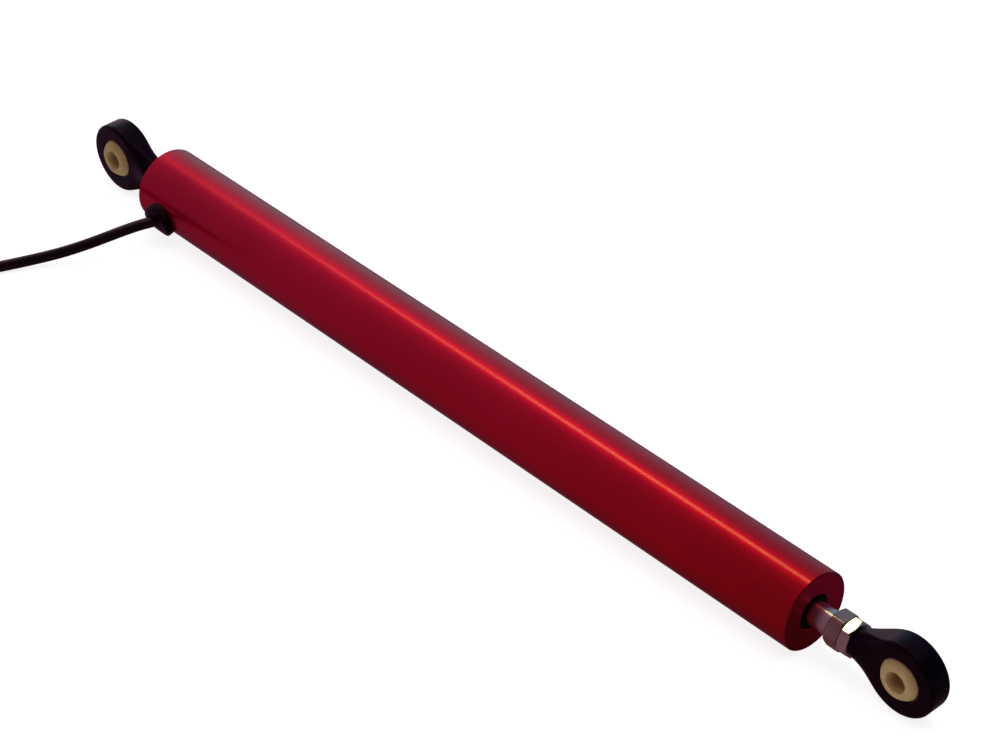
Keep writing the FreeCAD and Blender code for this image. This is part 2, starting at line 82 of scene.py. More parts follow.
def coil_points():
    start, whole = -17.3, 1602.7
    steps = 71
    pts = []
    for i in range(1, steps):
        a = whole * i / steps
        if a < 720.0:
            r, z = 18.3 - 5.8 * a / 720.0, 1.90
        elif a < 810.0:
            k = (a - 720.0) / 90.0
            r, z = 12.5 - 0.1 * k, 1.90 + 2.85 * k * k * (3.0 - 2.0 * k)
        else:
            r, z = 12.4 + 6.2 * (a - 810.0) / 792.7, 4.75
        t = math.radians(start - a)
        r = r / 0.981
        pts.append((COIL_C[0] + r * math.cos(t), COIL_C[1] + r * math.sin(t), z))
    return pts


def nurbs_cord(name, points, diameter, sides=6, steps=10):
    cu = bpy.data.curves.new(name, "CURVE")
    cu.dimensions = "3D"
    sp = cu.splines.new("NURBS")
    sp.points.add(len(points) - 1)
    for q, p in zip(sp.points, points):
        q.co = (p[0] * MM, p[1] * MM, p[2] * MM, 1.0)
        q.radius = diameter / 2.0 * MM
    sp.order_u = 3
    sp.use_endpoint_u = True
    sp.resolution_u = steps
    cu.resolution_u = steps
    cu.bevel_depth = 1.0
    cu.bevel_resolution = sides
    cu.use_fill_caps = True
    ob = bpy.data.objects.new(name, cu)
    scene.collection.objects.link(ob)
    return ob


cable = nurbs_cord("sensor_cable", LEAD + coil_points() + TAIL, CABLE_D)
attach(cable, "housing")
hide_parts("cable", "cable_coil", "cable_tail")

# stripped cores at the cable's free end
CORES = {
    "lead_core_white": [
        (-167.38, -41.35, 2.00), (-168.23, -38.70, 1.64), (-168.97, -35.22, 0.75),
        (-169.45, -31.59, 0.45), (-170.42, -28.23, 0.45)],
    "lead_core_blue": [
        (-167.84, -41.61, 1.12), (-168.57, -39.34, 0.82), (-170.30, -36.48, 0.45),
        (-173.30, -33.66, 0.45), (-176.50, -31.22, 0.45)],
    "lead_core_red": [
        (-166.85, -41.30, 1.12), (-167.55, -39.12, 0.83), (-167.57, -35.82, 0.45),
        (-166.67, -31.75, 0.45), (-166.15, -27.80, 0.45)],
}


# ------------------------------------------------------------------- meshes
def mesh_object(name, verts, faces, crease=None):
    """Object of a mesh given in millimetres, faces turned outwards."""
    me = bpy.data.meshes.new(name)
    me.from_pydata([(x * MM, y * MM, z * MM) for x, y, z in verts], [], faces)
    bm = bmesh.new()
    bm.from_mesh(me)
    bmesh.ops.remove_doubles(bm, verts=bm.verts, dist=1e-8)
    bmesh.ops.recalc_face_normals(bm, faces=bm.faces)
    for f in bm.faces:
        f.smooth = True
    if crease is not None:
        for e in bm.edges:
            if len(e.link_faces) == 2 and e.calc_face_angle(0.0) > math.radians(crease):
                e.smooth = False
    bm.to_mesh(me)
    bm.free()
    ob = bpy.data.objects.new(name, me)
    scene.collection.objects.link(ob)
    return ob


def grid_faces(rows, cols, offset=0, close_rows=False):
    """Quads of a grid whose columns go round; rows may close too."""
    out = []
    last = rows if close_rows else rows - 1
    for i in range(last):
        a = offset + i * cols
        b = offset + ((i + 1) % rows) * cols
        for j in range(cols):
            k = (j + 1) % cols
            out.append((a + j, a + k, b + k, b + j))
    return out


def turned_corners(points):
    """Profile points (u, r) or (u, r, radius): corners with a radius get an arc."""
    n = len(points)
    out = []
    for i, p in enumerate(points):
        rad = p[2] if len(p) > 2 else 0.0
        if rad <= 0.0:
            out.append((p[0], p[1]))
            continue
        a, b = Vector(points[i - 1][:2]), Vector(points[(i + 1) % n][:2])
        c = Vector(p[:2])
        ua, ub = (a - c).normalized(), (b - c).normalized()
        half = ua.angle(ub) / 2.0
        back = rad / math.tan(half)
        mid = c + (ua + ub).normalized() * (rad / math.sin(half))
        s, e = c + ua * back - mid, c + ub * back - mid
        turn = s.angle_signed(e)
        steps = max(3, int(abs(turn) / math.radians(15)) + 1)
        for k in range(steps + 1):
            q = s.copy()
            q.rotate(Matrix.Rotation(-turn * k / steps, 2))
            out.append((mid.x + q.x, mid.y + q.y))
    return out


def turned_ring(points, segments):
    """Closed ring about the u axis: vertices as (u, y, z) and faces."""
    prof = turned_corners(points)
    verts = []
    for u, r in prof:
        for j in range(segments):
            t = 2.0 * math.pi * j / segments
            verts.append((u, r * math.cos(t), r * math.sin(t)))
    return verts, grid_faces(len(prof), segments, 0, True)


# ------------------------------------------------------------- tube and rod
def drilled(ob, foot, way, radius, depth):
    """Cut a round hole through a mesh object, and mark its new edges."""
    w = Vector(way).normalized()
    side = w.cross(Vector((1.0, 0.0, 0.0))).normalized()
    up = side.cross(w)
    n = 96
    verts, faces = [], []
    for h in (0.0, depth):
        for j in range(n):
            t = 2.0 * math.pi * j / n
            verts.append(tuple(Vector(foot) + w * h + side * (radius * math.cos(t)) + up * (radius * math.sin(t))))
    faces += grid_faces(2, n)
    faces += [tuple(range(n)), tuple(range(n, 2 * n))]
    tool = mesh_object("drill", verts, faces)
    mod = ob.modifiers.new("hole", "BOOLEAN")
    mod.object, mod.operation, mod.solver = tool, "DIFFERENCE", "EXACT"
    bpy.context.view_layer.update()
    me = bpy.data.meshes.new_from_object(ob.evaluated_get(bpy.context.evaluated_depsgraph_get()))
    ob.modifiers.clear()
    ob.data = me
    bpy.data.objects.remove(tool)
    bm = bmesh.new()
    bm.from_mesh(me)
    for e in bm.edges:
        if len(e.link_faces) == 2:
            e.smooth = e.calc_face_angle(0.0) < math.radians(30)
    bm.to_mesh(me)
    bm.free()
    return ob


def tube_mesh(name):
    """Drawn tube with chamfered rims and the seats of the end caps inside."""
    places = [0.25, 1.2, 2.4, 3.4] + [3.8 + 0.6 * i for i in range(17)] + [14.5, 16.0, 18.0]
    places += [20.0 + 5.0 * i for i in range(40)] + [217.5, 219.0, 219.6, 219.75]
    prof = [(x, 9.5) for x in places]
    prof += [(219.93, 9.35), (220.0, 9.25), (220.0, 9.1), (218.4, 9.1), (218.4, 8.5)]
    prof += [(215.0 - 5.0 * i, 8.5) for i in range(40)]
    prof += [(15.0 - 0.8 * i, 8.5) for i in range(16)]
    prof += [(1.6, 8.5), (1.6, 9.1), (0.0, 9.1), (0.0, 9.25), (0.07, 9.35)]
    verts, faces = turned_ring(prof, 288)
    ob = mesh_object(name, [(u + REAR, y, z + AXIS_Z) for u, y, z in verts], faces, 30)
    turn = math.radians(16.0)
    return drilled(ob, (8.5 + REAR, 0.0, AXIS_Z), (0.0, -math.cos(turn), -math.sin(turn)), 2.8, 12.0)


def rod_mesh(name):
    """Ground rod with the snap rings' grooves and a tapped hole in its outer end."""
    prof = [(61.5, 2.7), (61.8, 3.0), (62.0, 3.0), (62.0, 2.7), (63.0, 2.7), (63.0, 3.0)]
    prof += [(63.0 + 6.5 * i, 3.0) for i in range(1, 4)]
    prof += [(89.0, 3.0), (89.0, 2.7), (90.0, 2.7), (90.0, 3.0), (93.0, 3.0),
             (96.2, 3.0), (96.2, 2.7), (97.2, 2.7), (97.2, 3.0)]
    prof += [(100.0 + 4.0 * i, 3.0) for i in range(32)]
    prof += [(226.5, 3.0), (229.4, 3.0), (229.4, 2.62), (229.28, 2.5), (225.0, 2.5), (221.9, 2.5)]
    n = 144
    verts = []
    for u, r in prof:
        for j in range(n):
            t = 2.0 * math.pi * j / n
            verts.append((u + REAR, r * math.cos(t), r * math.sin(t) + AXIS_Z))
    faces = grid_faces(len(prof), n)
    a, b = len(verts), len(verts) + 1
    verts += [(61.5 + REAR, 0.0, AXIS_Z), (220.7 + REAR, 0.0, AXIS_Z)]
    q = (len(prof) - 1) * n
    for j in range(n):
        k = (j + 1) % n
        faces.append((a, k, j))
        faces.append((b, q + j, q + k))
    return mesh_object(name, verts, faces, 30)


tube = tube_mesh("tube_drawn")
rod = rod_mesh("rod_ground")


# --------------------------------------------------------------- rod eyes
EYE_R, EYE_HALF = 9.0, 3.0
NECK_X, NECK_H = -13.3, 3.4
SEAT_R, SEAT_HALF = 5.60, 2.6
STUD_R, PITCH = 2.5, 0.8


def eye_outline():
    """Head circle with lines that run into the neck: angle, radius pairs."""
    far = math.hypot(NECK_X, NECK_H)
    lean = math.asin(EYE_R / far) - math.atan2(NECK_H, -NECK_X)
    tx, tz = -EYE_R * math.sin(lean), EYE_R * math.cos(lean)
    return lean, tx, tz


def eye_mesh(name, ball_x, way, stud_end):
    lean, tx, tz = eye_outline()
    slope = (tz - NECK_H) / (tx - NECK_X)
    nl = Vector((-math.sin(lean), math.cos(lean)))   # outward normal of the upper side line
    corner = math.atan2(NECK_H, -NECK_X)
    touch = math.atan2(tz, -tx)

    def reach(phi):
        """Outline radius in the direction phi, measured from the neck's axis."""
        a = abs(phi)
        if a <= corner:
            return -NECK_X / math.cos(a)
        if a < touch:
            d = Vector((-math.cos(a), math.sin(a)))
            return EYE_R / d.dot(nl)
        return EYE_R

    def edge_distance(x, z):
        z = abs(z)
        d_line = EYE_R - (x * nl.x + z * nl.y)
        if math.atan2(z, -x) > touch:
            return EYE_R - math.hypot(x, z)
        return d_line

    def half_thickness(x, z):
        d = max(0.0, edge_distance(x, z))
        re = 0.85
        head = EYE_HALF - re + math.sqrt(max(0.0, re * re - max(0.0, re - d) ** 2))
        width = NECK_H + max(0.0, x - NECK_X) * slope
        k = min(1.0, max(0.0, (x - NECK_X) / 9.0))
        k = k * k * (3.0 - 2.0 * k)
        tall = 3.4 - 0.4 * k
        neck = tall * math.sqrt(max(0.0, 1.0 - (z / width) ** 2))
        return k * head + (1.0 - k) * neck

    angles = []
    for a, b, n in ((-corner, corner, 28), (corner, touch, 36), (touch, 2.0 * math.pi - touch, 140),
                    (2.0 * math.pi - touch, 2.0 * math.pi - corner, 36)):
        for i in range(n):
            angles.append(a + (b - a) * i / n)
    cols = len(angles)
    # inside of the seat, from one face to the other
    seat_rows = []
    face_r = math.sqrt(SEAT_R ** 2 - SEAT_HALF ** 2)
    for i in range(13):
        y = SEAT_HALF - 2.0 * SEAT_HALF * i / 12
        seat_rows.append((math.sqrt(SEAT_R ** 2 - y * y), y))
    mouth = face_r + EYE_HALF - SEAT_HALF
    n_out = 34
    verts = []
    rows = 0

    def ring_row(fn):
        nonlocal rows
        for phi in angles:
            verts.append(fn(phi))
        rows += 1

    def polar(r, phi, y):
        return (-r * math.cos(phi), y, r * math.sin(phi))

    # from the +Y mouth outwards over the face, round the rim, back over the -Y face
    for side in (1, -1):
        steps = range(n_out + 1) if side > 0 else range(n_out, -1, -1)
        for i in steps:
            u = i / n_out
            s = 1.0 - (1.0 - u) ** 2

            def point(phi, s=s, i=i, side=side):
                full = phi if phi <= math.pi else phi - 2.0 * math.pi
                out = reach(full)
                r = mouth + (out - mouth) * s
                x, z = -r * math.cos(full), r * math.sin(full)
                t = half_thickness(x, z) if i else EYE_HALF
                if i == 0:
                    t = half_thickness(x, z)
                return (x, side * t, z)
            ring_row(point)
    # chamfer and seat
    for r, y in reversed(seat_rows):
        ring_row(lambda phi, r=r, y=y: polar(r, phi, y))
    faces = grid_faces(rows, cols, 0, True)
    # threaded stud
    n = 40
    length = abs(stud_end - ball_x) + NECK_X
    stud_rows = int(length / 0.1)
    base = len(verts)
    verts.append((NECK_X, 0.0, 0.0))
    for i in range(stud_rows + 1):
        x = NECK_X - length * i / stud_rows
        taper = max(0.0, min(1.0, (length + NECK_X - x - length) / 0.6))
        end = min(1.0, (x - (NECK_X - length)) / 0.7)
        for j in range(n):
            t = 2.0 * math.pi * j / n
            ph = ((NECK_X - x) / PITCH + j / n) % 1.0
            tooth = abs(2.0 * ph - 1.0)
            tooth = min(1.0, max(0.0, (tooth - 0.12) / 0.76))
            r = STUD_R - 0.46 * (1.0 - tooth * min(1.0, 0.25 + 0.75 * end))
            r = min(r, STUD_R - 0.45 + 0.45 * end)
            verts.append((x, r * math.cos(t), r * math.sin(t)))
    tip = len(verts)
    verts.append((NECK_X - length, 0.0, 0.0))
    faces += grid_faces(stud_rows + 1, n, base + 1)
    for j in range(n):
        k = (j + 1) % n
        faces.append((base, base + 1 + k, base + 1 + j))
        q = base + 1 + stud_rows * n
        faces.append((tip, q + j, q + k))
    placed = []
    for x, y, z in verts:
        if way < 0:
            x, y = -x, -y
        placed.append((x + ball_x + REAR, y, z + AXIS_Z))
    return mesh_object(name, placed, faces, 40)


BALL_R, BALL_HALF, BORE_R = 5.555, 4.0, 2.5


def ball_mesh(name, ball_x):
    rim = math.sqrt(BALL_R ** 2 - BALL_HALF ** 2)
    prof = [(-BALL_HALF, BORE_R + 0.14, 0.05), (-BALL_HALF, rim - 0.16)]
    # rounded edge of the face, then the sphere
    edge = math.acos((BALL_HALF - 0.10) / BALL_R)
    n = 44
    for i in range(n + 1):
        a = math.pi - edge - (math.pi - 2.0 * edge) * i / n
        prof.append((BALL_R * math.cos(a), BALL_R * math.sin(a)))
    prof += [(BALL_HALF, rim - 0.16), (BALL_HALF, BORE_R + 0.14, 0.05),
             (BALL_HALF - 0.14, BORE_R), (-BALL_HALF + 0.14, BORE_R)]
    verts, faces = turned_ring(prof, 128)
    placed = [(y + ball_x + REAR, u, z + AXIS_Z) for u, y, z in verts]
    return mesh_object(name, placed, faces, 50)


FRONT_BALL, REAR_BALL = 245.4, -18.2
front_eye = eye_mesh("front_eye_moulding", FRONT_BALL, 1, 222.9)
rear_eye = eye_mesh("rear_eye_moulding", REAR_BALL, -1, 5.3)
front_ball = ball_mesh("front_ball_moulding", FRONT_BALL)
rear_ball = ball_mesh("rear_ball_moulding", REAR_BALL)


# ---------------------------------------------------------- nuts and hex end
def hex_radius(t, af, turn):
    """Radius of a hexagon with slightly rounded corners in the direction t."""
    p = 90.0
    total = 0.0
    for k in range(6):
        c = math.cos(t - math.radians(180.0 - turn + 60.0 * k))
        if c > 0.0:
            total += c ** p
    return af / 2.0 * total ** (-1.0 / p)


def soft_min(a, b, k):
    h = max(k - abs(a - b), 0.0) / k
    return min(a, b) - h * h * k / 4.0


def hex_piece(name, x0, x1, af, turn, cap, bore, bore_chamfer):
    """Hexagon with conical ends: cap gives the turned radius at a place along X."""
    n = 360
    rows = []
    steps = 46
    for i in range(steps + 1):
        u = i / steps
        x = x0 + (x1 - x0) * (0.5 - 0.5 * math.cos(math.pi * u))
        rows.append([(x, soft_min(hex_radius(2.0 * math.pi * j / n, af, turn), cap(x), 0.10))
                     for j in range(n)])
    for x, r in ((x1, bore + bore_chamfer), (x1 - bore_chamfer, bore),
                 (x0 + bore_chamfer, bore), (x0, bore + bore_chamfer)):
        rows.append([(x, r)] * n)
    verts = []
    for row in rows:
        for j, (x, r) in enumerate(row):
            t = 2.0 * math.pi * j / n
            verts.append((x + REAR, r * math.cos(t), r * math.sin(t) + AXIS_Z))
    return mesh_object(name, verts, grid_faces(len(rows), n, 0, True), 35)


def nut_cap(x0, x1):
    def cap(x):
        d = min(x - x0, x1 - x)
        return 3.74 + 0.06 * min(1.0, d / 0.06) + d / math.tan(math.radians(30))
    return cap


def hex_end_cap(x):
    d = x - 225.7
    e = 229.4 - x
    return min(3.70 + 0.05 * min(1.0, d / 0.05) + d * 1.45, 4.4, 4.1 + e * 1.2)


front_nut = hex_piece("front_nut_milled", 229.4, 232.1, 8.0, 18.3, nut_cap(229.4, 232.1), 2.5, 0.4)
rear_nut = hex_piece("rear_nut_milled", -4.9, -2.2, 8.0, 18.3, nut_cap(-4.9, -2.2), 2.5, 0.4)
hex_end = hex_piece("hex_end_milled", 225.7, 229.4, 8.0, 34.3, hex_end_cap, 3.0, 0.02)


# ------------------------------------------------------------------- grommet
def grommet_mesh(name):
    """Round flange that follows the tube, with a collar round the slanting cable
    and a neck and lip through the tube's hole."""
    gx, turn = 8.5, math.radians(16.0)
    tube_r, wall_r, face_r = 9.5, 8.5, 11.37
    out = Vector((0.0, -math.cos(turn), -math.sin(turn)))
    e1 = Vector((1.0, 0.0, 0.0))
    e2 = Vector((0.0, math.sin(turn), -math.cos(turn)))
    root = Vector((7.92 - gx, -11.06, -2.62))
    way = Vector((-0.394, -0.918, -0.045)).normalized()
    lean = way.dot(out)
    tilt = Vector((way.dot(e1), way.dot(e2))).normalized()
    stretch = 1.0 / lean - 1.0
    n = 160
    verts = []
    rows = 0

    def at(u, w, h):
        q = e1 * u + e2 * w + out * h
        verts.append((q.x + gx + REAR, q.y, q.z + AXIS_Z))

    def round_row(r, big):
        """Circle about the flange's axis, lifted to the radius big about the tube."""
        nonlocal rows
        for j in range(n):
            t = 2.0 * math.pi * j / n
            u, w = r * math.cos(t), r * math.sin(t)
            at(u, w, math.sqrt(big * big - w * w))
        rows += 1

    def flat_row(r, h):
        nonlocal rows
        for j in range(n):
            t = 2.0 * math.pi * j / n
            at(r * math.cos(t), r * math.sin(t), h)
        rows += 1

    def cable_row(r, v, big=None, h=None):
        """Oval about the cable; v = 0 is the flange's rim circle, 1 the cable."""
        nonlocal rows
        hr = h if h is not None else root.dot(out)
        c = root - way * ((root.dot(out) - hr) / lean)
        cu, cw = c.dot(e1) * v, c.dot(e2) * v
        for j in range(n):
            t = 2.0 * math.pi * j / n
            u, w = r * math.cos(t), r * math.sin(t)
            k = (u * tilt.x + w * tilt.y) * stretch * v
            u, w = cu + u + tilt.x * k, cw + w + tilt.y * k
            at(u, w, h if h is not None else math.sqrt(big * big - w * w))
        rows += 1

    cable_row(1.40, 1.0, h=7.0)
    flat_row(3.3, 7.0)
    round_row(3.3, wall_r - 0.25)
    round_row(3.05, wall_r - 0.01)
    round_row(2.8, wall_r)
    round_row(2.8, tube_r + 0.002)
    round_row(4.20, tube_r + 0.002)
    round_row(4.40, tube_r + 0.02)
    round_row(4.47, tube_r + 0.10)
    round_row(4.49, tube_r + 0.22)
    round_row(4.49, tube_r + 0.75)
    edge = 0.55
    for i in range(9):
        a = math.radians(90.0 * i / 8)
        round_row(4.49 - edge + edge * math.cos(a), face_r - edge + edge * math.sin(a))
    rim = 4.49 - edge
    for i in range(1, 9):
        v = i / 8.0
        r = rim + (2.25 - rim) * v
        cable_row(r, v, big=face_r + 0.07 * v * (2.0 - v))
    for r, lift in ((2.16, 0.09), (2.10, 0.16), (2.02, 0.24), (1.91, 0.30), (1.76, 0.32),
                    (1.60, 0.30), (1.51, 0.24), (1.45, 0.12), (1.42, -0.15)):
        cable_row(r, 1.0, big=face_r + lift)
    cable_row(1.40, 1.0, h=10.6)
    return mesh_object(name, verts, grid_faces(rows, n, 0, True), 60)


grommet = grommet_mesh("grommet_moulding")


# ---------------------------------------------------------------- rod wiper
def wiper_mesh(name):
    prof = [(216.4, 3.55), (216.4, 4.25), (219.30, 4.25), (219.5, 4.05), (219.5, 3.62),
            (219.36, 3.42), (219.42, 3.24), (219.40, 3.10), (219.25, 3.035), (218.5, 3.03), (217.9, 3.5)]
    verts, faces = turned_ring(prof, 128)
    return mesh_object(name, [(u + REAR, y, z + AXIS_Z) for u, y, z in verts], faces, 40)


wiper = wiper_mesh("wiper_moulding")


# ---------------------------------------------------------------- cable tie
def tie_mesh(name):
    """Toothed strap round the coil's turns, its lock on top and a cut-off tail."""
    r0, r1, z0, z1 = 10.9, 20.1, 0.5, 6.2
    t, w = 0.5, 3.0
    rad = 1.2
    inner = []
    corners = ((r0 + rad, z0 + rad, 180.0), (r1 - rad, z0 + rad, 270.0),
               (r1 - rad, z1 - rad, 0.0), (r0 + rad, z1 - rad, 90.0))
    for cx, cz, a0 in corners:
        for i in range(9):
            a = math.radians(a0 + 90.0 * i / 8)
            inner.append((cx, cz, math.cos(a), math.sin(a)))
    n = len(inner)
    section = [(-w / 2, 0.0), (-w / 2, t - 0.12), (-w / 2 + 0.12, t), (w / 2 - 0.12, t), (w / 2, t - 0.12), (w / 2, 0.0)]
    verts, faces = [], []
    for side, lift in section:
        for cx, cz, c, s in inner:
            verts.append((cx + (rad + lift) * c, side, cz + (rad + lift) * s))
    faces += grid_faces(len(section), n, 0, True)
    # lock: a bevelled block
    def block(x0, x1, y0, y1, za, zb, e):
        base = len(verts)
        for z, k in ((za, 0.0), (zb - e, 0.0), (zb, e)):
            for x, y in ((x0 + k, y0 + k + e), (x0 + k + e, y0 + k), (x1 - k - e, y0 + k), (x1 - k, y0 + k + e),
                         (x1 - k, y1 - k - e), (x1 - k - e, y1 - k), (x0 + k + e, y1 - k), (x0 + k, y1 - k - e)):
                verts.append((x, y, z))
        faces.extend(grid_faces(3, 8, base))
        faces.append(tuple(base + i for i in reversed(range(8))))
        faces.append(tuple(base + 16 + i for i in range(8)))
    block(13.0, 17.2, -2.2, 2.2, z1 + t + 0.001, z1 + 2.6, 0.4)
    block(11.2, 12.98, -1.4, 1.4, z1 + t + 0.002, z1 + t + 0.9, 0.15)
    for k in range(7):
        x = 17.5 + 0.22 * k
        if x < 18.0:
            block(x, x + 0.12, -1.0, 1.0, z1 + t + 0.001, z1 + t + 0.13, 0.03)
    a = math.radians(-125.0)
    c, s = math.cos(a), math.sin(a)
    placed = [(x * c - y * s + COIL_C[0], x * s + y * c + COIL_C[1], z) for x, y, z in verts]
    return mesh_object(name, placed, faces, 35)


tie = tie_mesh("tie_moulding")


# ----------------------------------------------------- stripped cores and tips
def tips_mesh(name):
    """Tinned strand ends: a lightly twisted bundle at the end of each core."""
    verts, faces = [], []
    n, steps = 42, 26
    for pts in CORES.values():
        a, b = Vector(pts[-2]), Vector(pts[-1])
        w = (b - a).normalized()
        side = w.cross(Vector((0, 0, 1))).normalized()
        up = side.cross(w)
        base = len(verts)
        verts.append(tuple(b - w * 0.05))
        for i in range(steps + 1):
            u = 4.0 * i / steps
            end = min(1.0, (4.0 - u) / 0.25)
            for j in range(n):
                t = 2.0 * math.pi * j / n
                r = 0.245 + 0.05 * abs(math.cos(3.5 * t + 1.1 * u))
                r *= 0.55 + 0.45 * math.sqrt(max(0.0, min(1.0, end)))
                verts.append(tuple(b + w * u + side * (r * math.cos(t)) + up * (r * math.sin(t))))
        tip = len(verts)
        verts.append(tuple(b + w * 4.0))
        faces += grid_faces(steps + 1, n, base + 1)
        for j in range(n):
            k = (j + 1) % n
            faces.append((base, base + 1 + k, base + 1 + j))
            q = base + 1 + steps * n
            faces.append((tip, q + j, q + k))
    return mesh_object(name, verts, faces, 60)


core_objects = {}
for node, pts in CORES.items():
    core_objects[node] = nurbs_cord(node.replace("lead_core", "core_wire"), pts, 0.9, 4, 8)
tips = tips_mesh("core_tips")


# ---------------------------------------------------------------- materials
def material(name):
    m = bpy.data.materials.new(name)
    m.use_nodes = True
    return m, m.node_tree, m.node_tree.nodes["Principled BSDF"]


def put(bsdf, **values):
    for key, v in values.items():
        bsdf.inputs[key.replace("_", " ")].default_value = v


def coords(nt, scale, turn=(0.0, 0.0, 0.0)):
    tc = nt.nodes.new("ShaderNodeTexCoord")
    mp = nt.nodes.new("ShaderNodeMapping")
    mp.inputs["Scale"].default_value = scale
    mp.inputs["Rotation"].default_value = turn
    nt.links.new(tc.outputs["Object"], mp.inputs["Vector"])
    return mp.outputs["Vector"]


def noise(nt, scale, detail=2.0, rough=0.5):
    """Noise with a feature size of about 1/scale metres on each axis."""
    if not isinstance(scale, tuple):
        scale = (scale,) * 3
    tex = nt.nodes.new("ShaderNodeTexNoise")
    tex.inputs["Scale"].default_value = 1.0
    tex.inputs["Detail"].default_value = detail
    tex.inputs["Roughness"].default_value = rough
    nt.links.new(coords(nt, scale), tex.inputs["Vector"])
    return tex.outputs["Fac"]


def ramp(nt, fac, stops):
    node = nt.nodes.new("ShaderNodeValToRGB")
    el = node.color_ramp.elements
    while len(el) < len(stops):
        el.new(0.5)
    for e, (pos, col) in zip(el, stops):
        e.position = pos
        e.color = (*col, 1.0)
    nt.links.new(fac, node.inputs["Fac"])
    return node.outputs["Color"]


def spread(nt, fac, lo, hi, f0=0.3, f1=0.7):
    node = nt.nodes.new("ShaderNodeMapRange")
    node.inputs["From Min"].default_value = f0
    node.inputs["From Max"].default_value = f1
    node.inputs["To Min"].default_value = lo
    node.inputs["To Max"].default_value = hi
    nt.links.new(fac, node.inputs["Value"])
    return node.outputs["Result"]


def add(nt, a, b, op="ADD"):
    node = nt.nodes.new("ShaderNodeMath")
    node.operation = op
    for i, v in enumerate((a, b)):
        if isinstance(v, (int, float)):
            node.inputs[i].default_value = v
        else:
            nt.links.new(v, node.inputs[i])
    return node.outputs["Value"]


def bump(nt, bsdf, height, strength, distance, below=None):
    node = nt.nodes.new("ShaderNodeBump")
    node.inputs["Strength"].default_value = strength
    node.inputs["Distance"].default_value = distance
    nt.links.new(height, node.inputs["Height"])
    if below is not None:
        nt.links.new(below, node.inputs["Normal"])
    nt.links.new(node.outputs["Normal"], bsdf.inputs["Normal"])
    return node.outputs["Normal"]


def radial(nt, scale):
    """Rings about the tube's axis: the distance from it, in steps of 1/scale metres."""
    tc = nt.nodes.new("ShaderNodeTexCoord")
    sep = nt.nodes.new("ShaderNodeSeparateXYZ")
    nt.links.new(tc.outputs["Object"], sep.inputs["Vector"])
    z = add(nt, sep.outputs["Z"], -AXIS_Z * MM)
    yy = add(nt, sep.outputs["Y"], sep.outputs["Y"], "MULTIPLY")
    zz = add(nt, z, z, "MULTIPLY")
    r = add(nt, add(nt, yy, zz), 0.5, "POWER")
    comb = nt.nodes.new("ShaderNodeCombineXYZ")
    nt.links.new(add(nt, r, scale, "MULTIPLY"), comb.inputs["X"])
    tex = nt.nodes.new("ShaderNodeTexNoise")
    tex.inputs["Scale"].default_value = 1.0
    tex.inputs["Detail"].default_value = 3.0
    nt.links.new(comb.outputs["Vector"], tex.inputs["Vector"])
    return tex.outputs["Fac"]


